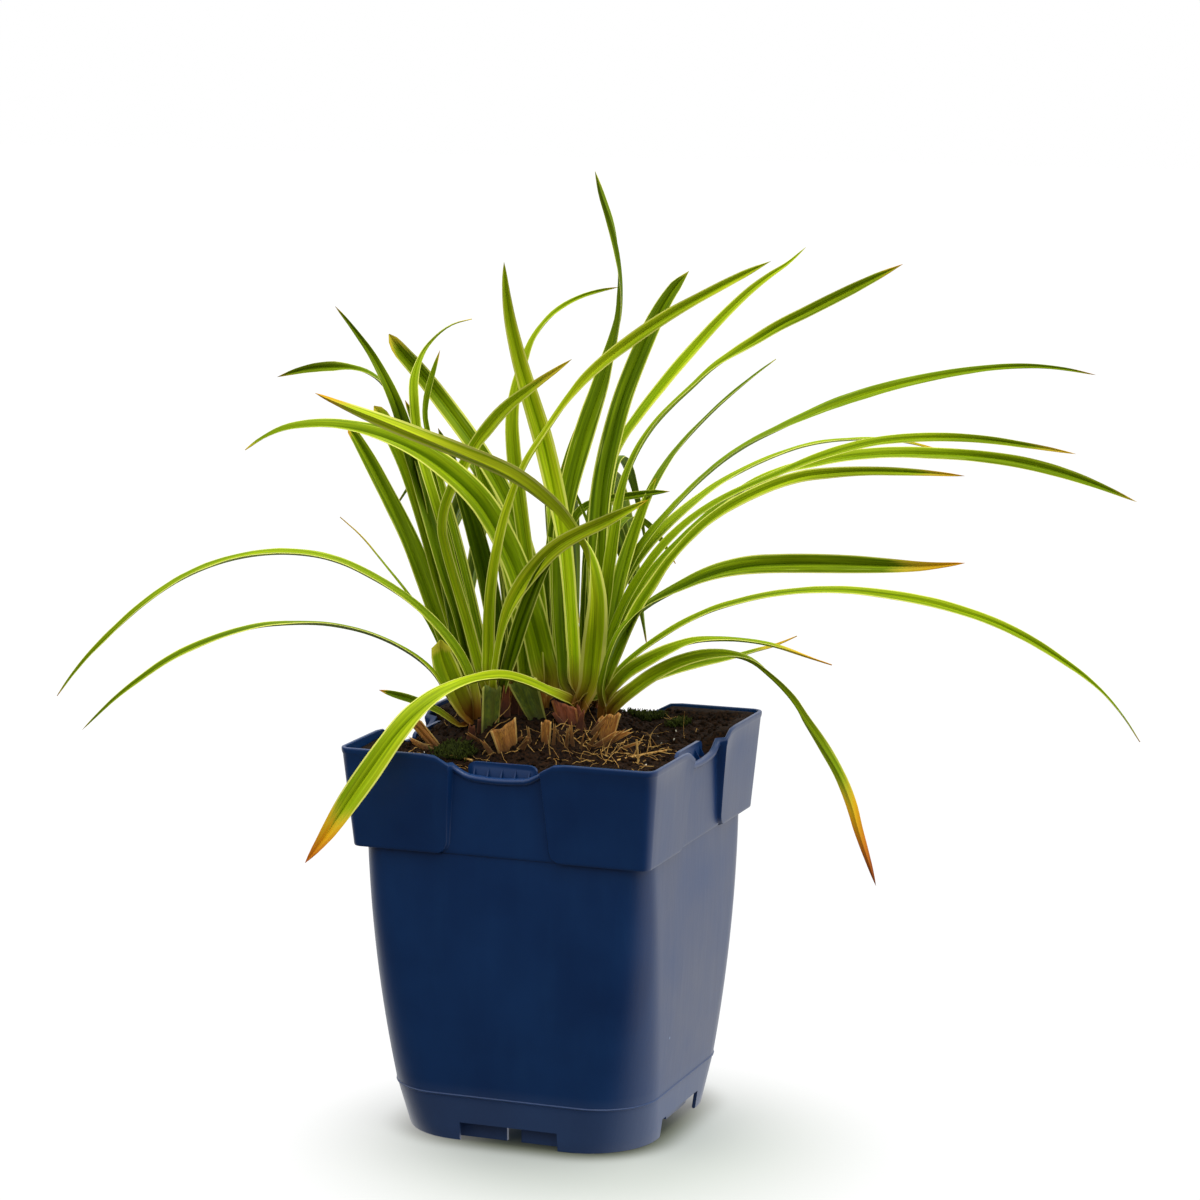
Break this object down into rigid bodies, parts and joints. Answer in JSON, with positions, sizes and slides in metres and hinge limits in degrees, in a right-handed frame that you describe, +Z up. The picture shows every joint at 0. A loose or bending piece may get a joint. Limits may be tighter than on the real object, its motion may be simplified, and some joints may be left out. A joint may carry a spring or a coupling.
{
  "type": "potted japanese sedge",
  "caption": "Variegated sedge with long arching leaves, planted in peat in a tall square nursery pot with notched feet and a dipped rim.",
  "frame": {"origin": "centre of the stud under the pot's floor, on the ground, on the pot's middle axis", "axes": "+Z up along the pot's axis; the pot's four sides face +X, -X, +Y and -Y; the side that faces -Y is the broad one in the picture"},
  "size_m": [0.3864, 0.2629, 0.3445],
  "materials": {
    "pot_plastic": "moulded, satin",
    "peat": "rough, moist",
    "leaf": "satin, green with pale yellow margins",
    "cut_leaf": "dull green, cut and drying",
    "dry_leaf": "dry, fibrous",
    "dry_sheath": "dry, red-brown",
    "straw": "dry, matt"
  },
  "bodies": {
    "root": {"pot": "pot_plastic", "soil": "peat", "shoot_left_front": "leaf", "shoot_left_back": "leaf", "shoot_left_inner": "leaf", "shoot_middle": "leaf", "shoot_right_inner": "leaf", "shoot_right_outer": "leaf", "shoot_right_front": "leaf", "shoot_back_left": "leaf", "shoot_back_middle": "leaf", "shoot_back_right": "leaf", "cut_stub_green": "cut_leaf", "cut_stub_broad": "cut_leaf", "cut_stub_tan_left": "dry_leaf", "cut_stub_tan_middle": "dry_leaf", "dead_leaf_tan": "dry_leaf", "sheath_red_brown": "dry_sheath", "sheath_tan": "dry_leaf", "straw_right": "straw", "straw_front": "straw", "straw_upright": "straw", "straw_left": "straw"}
  },
  "joints": []
}
